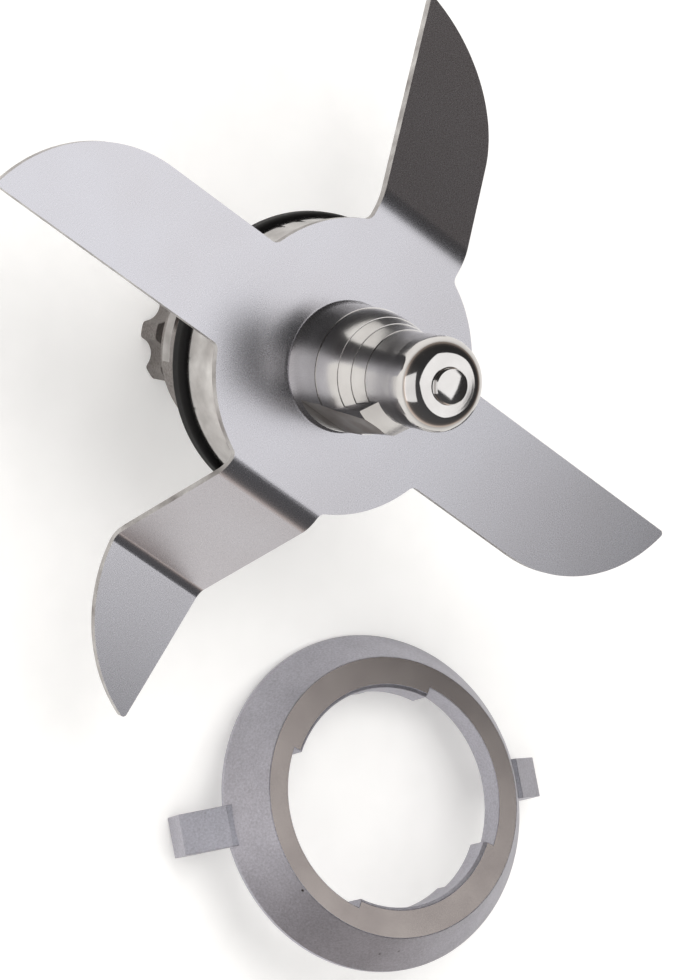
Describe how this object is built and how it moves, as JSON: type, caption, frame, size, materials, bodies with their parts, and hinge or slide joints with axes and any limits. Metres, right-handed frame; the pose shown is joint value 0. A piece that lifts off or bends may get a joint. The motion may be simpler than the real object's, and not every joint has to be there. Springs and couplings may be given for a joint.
{
  "type": "blender blade assembly",
  "caption": "Blade unit of a kitchen blender: bent steel wings on a spindle that turns in a sealed bearing housing, with its bayonet retaining ring lying beside it.",
  "frame": {"origin": "on the shaft axis, in the plane where the jar seal rests on the floor of the jar", "axes": "+Z along the shaft, towards the cap nut; +X along the wing that is bent twice; +Y along the flat wing a quarter turn from it, anticlockwise seen from the cap nut"},
  "size_m": [0.1135, 0.1368, 0.0656],
  "materials": {
    "blade_sheet": "satin",
    "polished_steel": "mirror polished",
    "turned_steel": "polished",
    "bearing_steel": "ground",
    "spring_steel": "satin",
    "seal_steel": "satin",
    "cast_metal": "as cast, grainy",
    "black_rubber": "matte",
    "cage_plastic": "matte"
  },
  "bodies": {
    "unit": {"bearing_housing": "turned_steel", "jar_seal": "black_rubber", "shaft_seal_case": "seal_steel", "shaft_seal_lip": "black_rubber", "seal_spring": "seal_steel", "circlip": "spring_steel", "retaining_ring": "cast_metal", "upper_outer_race": "bearing_steel", "upper_top_shield": "seal_steel", "upper_bottom_shield": "seal_steel", "lower_outer_race": "bearing_steel", "lower_top_shield": "seal_steel", "lower_bottom_shield": "seal_steel"},
    "rotor": {"spindle": "turned_steel", "blade": "blade_sheet", "cap_nut": "polished_steel", "spacer_sleeve": "turned_steel", "upper_inner_race": "bearing_steel", "lower_inner_race": "bearing_steel", "drive_coupling": "cast_metal", "coupling_damper": "black_rubber", "coupling_washer": "spring_steel", "coupling_nut": "spring_steel"},
    "upper_ball_set": {"upper_balls": "bearing_steel", "upper_cage": "cage_plastic"},
    "lower_ball_set": {"lower_balls": "bearing_steel", "lower_cage": "cage_plastic"}
  },
  "joints": [
    {"name": "blade_spin", "type": "hinge", "parent": "unit", "child": "rotor", "pos_m": [0, 0, 0], "axis": [0, 0, 1], "continuous": true},
    {"name": "upper_balls_orbit", "type": "hinge", "parent": "unit", "child": "upper_ball_set", "pos_m": [0, 0, 0.0005], "axis": [0, 0, 1], "continuous": true},
    {"name": "lower_balls_orbit", "type": "hinge", "parent": "unit", "child": "lower_ball_set", "pos_m": [0, 0, -0.0095], "axis": [0, 0, 1], "continuous": true}
  ],
  "couplings": [
    {"joint": "upper_balls_orbit", "follows": "blade_spin", "ratio": 0.368},
    {"joint": "lower_balls_orbit", "follows": "blade_spin", "ratio": 0.368}
  ]
}
